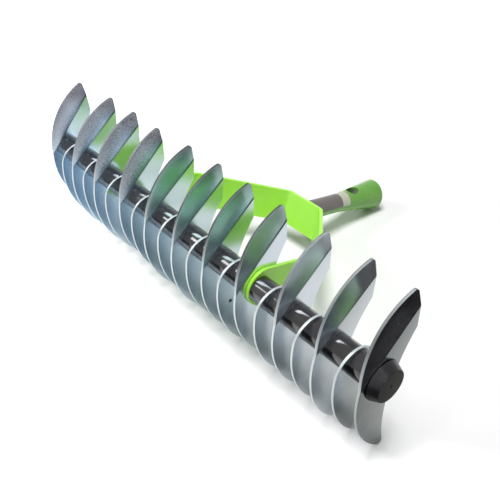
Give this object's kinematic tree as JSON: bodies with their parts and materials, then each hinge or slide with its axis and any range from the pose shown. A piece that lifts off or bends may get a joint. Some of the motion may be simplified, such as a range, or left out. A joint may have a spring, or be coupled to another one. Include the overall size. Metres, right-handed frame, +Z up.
{
  "type": "thatch rake head",
  "caption": "Thatch rake head: crescent tines and short tines with spacers on an axle, in a swinging flat-bar bracket with a flared handle socket.",
  "frame": {"origin": "on the ground below the middle of the rake head's outer box, as it lies on its lower tines and the socket's mouth", "axes": "+X along the axle, towards the end that is nearest in the picture; +Y back, towards the handle; +Z up"},
  "size_m": [0.4034, 0.2393, 0.1274],
  "materials": {
    "rod_steel": "plain steel",
    "cap_black": "gloss black",
    "spacer_black": "gloss black",
    "blade_zinc": "bright zinc plate",
    "bracket_green": "gloss lime green paint",
    "socket_green": "gloss lime green paint",
    "label_grey": "plain printed label with a pale band"
  },
  "bodies": {
    "blade_stack": {"axle_rod": "rod_steel", "end_cap_near": "cap_black", "end_cap_far": "cap_black", "spacer_01": "spacer_black", "spacer_02": "spacer_black", "spacer_03": "spacer_black", "spacer_04": "spacer_black", "spacer_05": "spacer_black", "spacer_06": "spacer_black", "spacer_07": "spacer_black", "spacer_08": "spacer_black", "spacer_09": "spacer_black", "spacer_10": "spacer_black", "spacer_11": "spacer_black", "spacer_12": "spacer_black", "spacer_13": "spacer_black", "spacer_14": "spacer_black", "spacer_15": "spacer_black", "spacer_16": "spacer_black", "spacer_17": "spacer_black", "spacer_18": "spacer_black", "spacer_19": "spacer_black", "spacer_20": "spacer_black", "long_blade_01": "blade_zinc", "long_blade_02": "blade_zinc", "long_blade_03": "blade_zinc", "long_blade_04": "blade_zinc", "long_blade_05": "blade_zinc", "long_blade_06": "blade_zinc", "long_blade_07": "blade_zinc", "long_blade_08": "blade_zinc", "long_blade_09": "blade_zinc", "long_blade_10": "blade_zinc", "long_blade_11": "blade_zinc", "short_blade_01": "blade_zinc", "short_blade_02": "blade_zinc", "short_blade_03": "blade_zinc", "short_blade_04": "blade_zinc", "short_blade_05": "blade_zinc", "short_blade_06": "blade_zinc", "short_blade_07": "blade_zinc", "short_blade_08": "blade_zinc", "short_blade_09": "blade_zinc", "short_blade_10": "blade_zinc"},
    "handle_bracket": {"bracket": "bracket_green", "handle_socket": "socket_green", "socket_weld": "socket_green", "socket_label": "label_grey"}
  },
  "joints": [
    {"name": "bracket_pivot", "type": "hinge", "parent": "blade_stack", "child": "handle_bracket", "pos_m": [0, -0.09731, 0.06987], "axis": [1, 0, 0], "range_deg": [-46, 38]}
  ]
}
